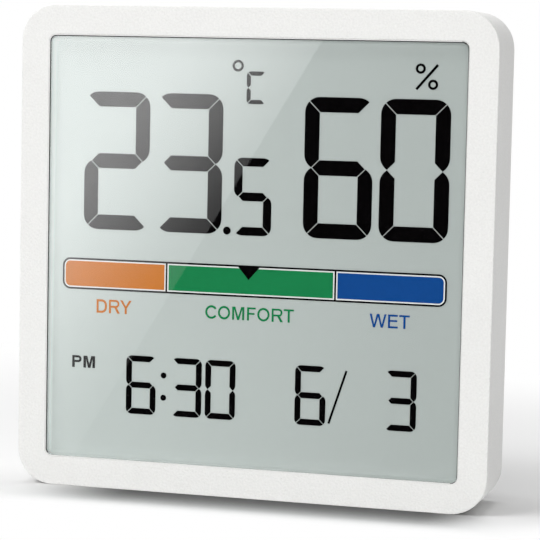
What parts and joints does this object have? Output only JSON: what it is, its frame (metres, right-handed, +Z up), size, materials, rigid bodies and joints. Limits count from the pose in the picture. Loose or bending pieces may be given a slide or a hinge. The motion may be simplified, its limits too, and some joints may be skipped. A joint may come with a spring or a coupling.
{
  "type": "thermometer hygrometer clock",
  "caption": "Square white digital thermometer, hygrometer and clock with a recessed LCD window, battery door, fold-out stand leg, keyhole and push buttons on the back.",
  "frame": {"origin": "middle of the bounding box on the ground plane, below the middle of the clock", "axes": "+X to the right seen from the front, +Y towards the back, so the display faces -Y, and +Z up"},
  "size_m": [0.0776, 0.02, 0.0775],
  "materials": {
    "white_case": "fine spark texture",
    "white_back": "satin",
    "clear_window": "polished clear",
    "dark_tape": "matt",
    "display_face": "anti-glare film",
    "display_glass": "polished",
    "reflector_film": "brushed film",
    "tray_plastic": "moulded",
    "contact_rubber": "matt",
    "board_green": "solder mask",
    "black_resin": "glossy epoxy",
    "can_metal": "bright",
    "sensor_white": "matt",
    "chip_tan": "matt ceramic",
    "black_plastic": "moulded",
    "screw_steel": "zinc plated",
    "contact_steel": "nickel plated",
    "cell_jacket": "printed sleeve",
    "grey_button": "satin",
    "red_lead": "satin",
    "black_lead": "satin"
  },
  "bodies": {
    "clock": {"front_housing": "white_case", "lens_tape": "dark_tape", "window_lens": "clear_window", "front_polarizer": "display_face", "lcd_front_glass": "display_glass", "lcd_rear_glass": "display_glass", "lcd_reflector": "reflector_film", "lcd_chassis": "tray_plastic", "zebra_connector": "contact_rubber", "main_board": "board_green", "controller_blob": "black_resin", "clock_crystal": "can_metal", "climate_sensor": "sensor_white", "chip_capacitors": "chip_tan", "key_switches": "black_plastic", "board_screws": "screw_steel", "rear_cover": "white_back", "cover_screws": "screw_steel", "battery_cell_upper": "cell_jacket", "battery_cell_lower": "cell_jacket", "bridge_contact": "contact_steel", "positive_contact": "contact_steel", "negative_contact": "contact_steel", "upper_cell_spring": "contact_steel", "lower_cell_spring": "contact_steel", "battery_lead_red": "red_lead", "battery_lead_black": "black_lead"},
    "stand_leg": {"stand_leg": "white_back"},
    "battery_door": {"battery_door": "white_back"},
    "set_button": {"set_button": "grey_button", "set_switch_plunger": "black_plastic"},
    "up_button": {"up_button": "grey_button", "up_switch_plunger": "black_plastic"},
    "down_button": {"down_button": "grey_button", "down_switch_plunger": "black_plastic"}
  },
  "joints": [
    {"name": "leg_fold", "type": "hinge", "parent": "clock", "child": "stand_leg", "pos_m": [0, 0.0087, 0.02936], "axis": [1, 0, 0], "range_deg": [0, 35]},
    {"name": "door_swing", "type": "hinge", "parent": "clock", "child": "battery_door", "pos_m": [0, 0.0093, 0.05976], "axis": [1, 0, 0], "range_deg": [0, 85]},
    {"name": "set_press", "type": "slide", "parent": "clock", "child": "set_button", "axis": [0, -1, 0], "range_m": [0, 0.00035], "stiffness_N_per_m": 4000},
    {"name": "up_press", "type": "slide", "parent": "clock", "child": "up_button", "axis": [0, -1, 0], "range_m": [0, 0.00035], "stiffness_N_per_m": 4000},
    {"name": "down_press", "type": "slide", "parent": "clock", "child": "down_button", "axis": [0, -1, 0], "range_m": [0, 0.00035], "stiffness_N_per_m": 4000}
  ]
}
